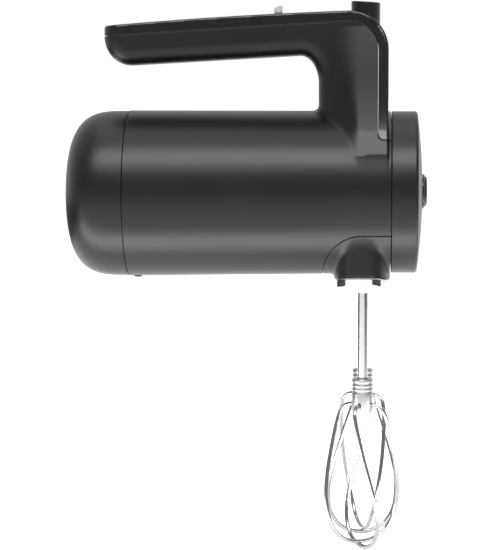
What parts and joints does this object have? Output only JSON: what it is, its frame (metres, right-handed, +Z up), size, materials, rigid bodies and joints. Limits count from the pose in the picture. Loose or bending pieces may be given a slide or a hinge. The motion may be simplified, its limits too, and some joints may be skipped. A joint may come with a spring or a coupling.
{
  "type": "cordless hand mixer",
  "caption": "Cordless hand mixer: black barrel with an open-ended handle, thumb slider, eject button and twin counter-turning wire whisks that pull out.",
  "frame": {"origin": "middle of the flat rear end of the barrel, on the motor's axis", "axes": "+X along the barrel to the front, +Y to the mixer's left side, +Z up with the whisks hanging down"},
  "size_m": [0.1978, 0.091, 0.2999],
  "materials": {
    "matte_black": "moulded black plastic with a fine satin grain",
    "gloss_black": "polished black plastic",
    "chrome": "bright chrome plating",
    "stainless": "drawn and polished stainless wire",
    "hub_metal": "turned stainless hub",
    "slider_silver": "silver plated plastic",
    "black_rubber": "soft black rubber",
    "steel": "plain machined steel",
    "bronze": "sintered bronze",
    "white_nylon": "natural nylon",
    "grey_plastic": "glass-filled grey plastic",
    "copper": "copper windings and bars",
    "cell_wrap": null,
    "board_green": "green circuit board",
    "carbon": "carbon brush in its holder"
  },
  "bodies": {
    "housing": {"housing_left": "matte_black", "housing_right": "matte_black", "rear_cap": "matte_black", "front_bezel": "matte_black", "nose_cover": "matte_black", "socket_plate": "matte_black", "handle_top_cover": "gloss_black", "front_badge": "gloss_black", "socket_ring": "chrome", "left_socket_bezel": "chrome", "right_socket_bezel": "chrome", "motor_can": "steel", "eject_spring": "steel", "speed_detent_spring": "steel", "gearbox_screw_1": "steel", "gearbox_screw_2": "steel", "gearbox_screw_3": "steel", "gearbox_screw_4": "steel", "motor_front_bearing": "bronze", "motor_rear_bearing": "bronze", "left_lower_bush": "bronze", "right_lower_bush": "bronze", "left_upper_bush": "bronze", "right_upper_bush": "bronze", "motor_end_bell": "grey_plastic", "gearbox_frame": "grey_plastic", "gearbox_cover": "grey_plastic", "battery_cradle": "grey_plastic", "charge_socket": "grey_plastic", "battery_cell_1": "cell_wrap", "battery_cell_2": "cell_wrap", "battery_cell_3": "cell_wrap", "control_board": "board_green", "speed_switch_board": "board_green", "brush_holder_left": "carbon", "brush_holder_right": "carbon"},
    "eject_control": {"eject_button": "gloss_black", "eject_rod": "white_nylon", "eject_yoke": "white_nylon"},
    "speed_slider": {"speed_slider_knob": "slider_silver", "speed_slider_carriage": "white_nylon"},
    "charge_flap": {"charge_port_flap": "black_rubber"},
    "motor_rotor": {"motor_shaft": "steel", "rotor_core": "copper", "commutator": "copper", "cooling_fan": "grey_plastic", "worm": "steel"},
    "left_drive": {"left_worm_wheel": "white_nylon", "left_spindle": "steel"},
    "right_drive": {"right_worm_wheel": "white_nylon", "right_spindle": "steel"},
    "left_beater": {"left_beater_shaft": "stainless", "left_beater_hub": "hub_metal", "left_beater_loop_low": "stainless", "left_beater_loop_high": "stainless"},
    "right_beater": {"right_beater_shaft": "stainless", "right_beater_hub": "hub_metal", "right_beater_loop_low": "stainless", "right_beater_loop_high": "stainless"}
  },
  "joints": [
    {"name": "motor_spin", "type": "hinge", "parent": "housing", "child": "motor_rotor", "pos_m": [0.083, 0, 0], "axis": [1, 0, 0], "continuous": true},
    {"name": "left_spindle_spin", "type": "hinge", "parent": "housing", "child": "left_drive", "pos_m": [0.1631, 0.018, 0], "axis": [0, 0, 1], "continuous": true},
    {"name": "right_spindle_spin", "type": "hinge", "parent": "housing", "child": "right_drive", "pos_m": [0.1631, -0.018, 0], "axis": [0, 0, 1], "continuous": true},
    {"name": "left_beater_release", "type": "slide", "parent": "left_drive", "child": "left_beater", "axis": [0, 0, -1], "range_m": [0, 0.045]},
    {"name": "right_beater_release", "type": "slide", "parent": "right_drive", "child": "right_beater", "axis": [0, 0, -1], "range_m": [0, 0.045]},
    {"name": "eject_press", "type": "slide", "parent": "housing", "child": "eject_control", "axis": [0, 0, -1], "range_m": [0, 0.007], "stiffness_N_per_m": 600, "springref_m": -0.002, "deforming": ["eject_spring"]},
    {"name": "speed_slide", "type": "slide", "parent": "housing", "child": "speed_slider", "axis": [0.9981, 0, 0.061], "range_m": [0, 0.028]},
    {"name": "flap_open", "type": "hinge", "parent": "housing", "child": "charge_flap", "pos_m": [0.03995, 0, -0.04525], "axis": [0, -1, 0], "range_deg": [0, 100]}
  ],
  "couplings": [
    {"joint": "left_spindle_spin", "follows": "motor_spin", "ratio": -0.041667},
    {"joint": "right_spindle_spin", "follows": "motor_spin", "ratio": 0.041667}
  ]
}
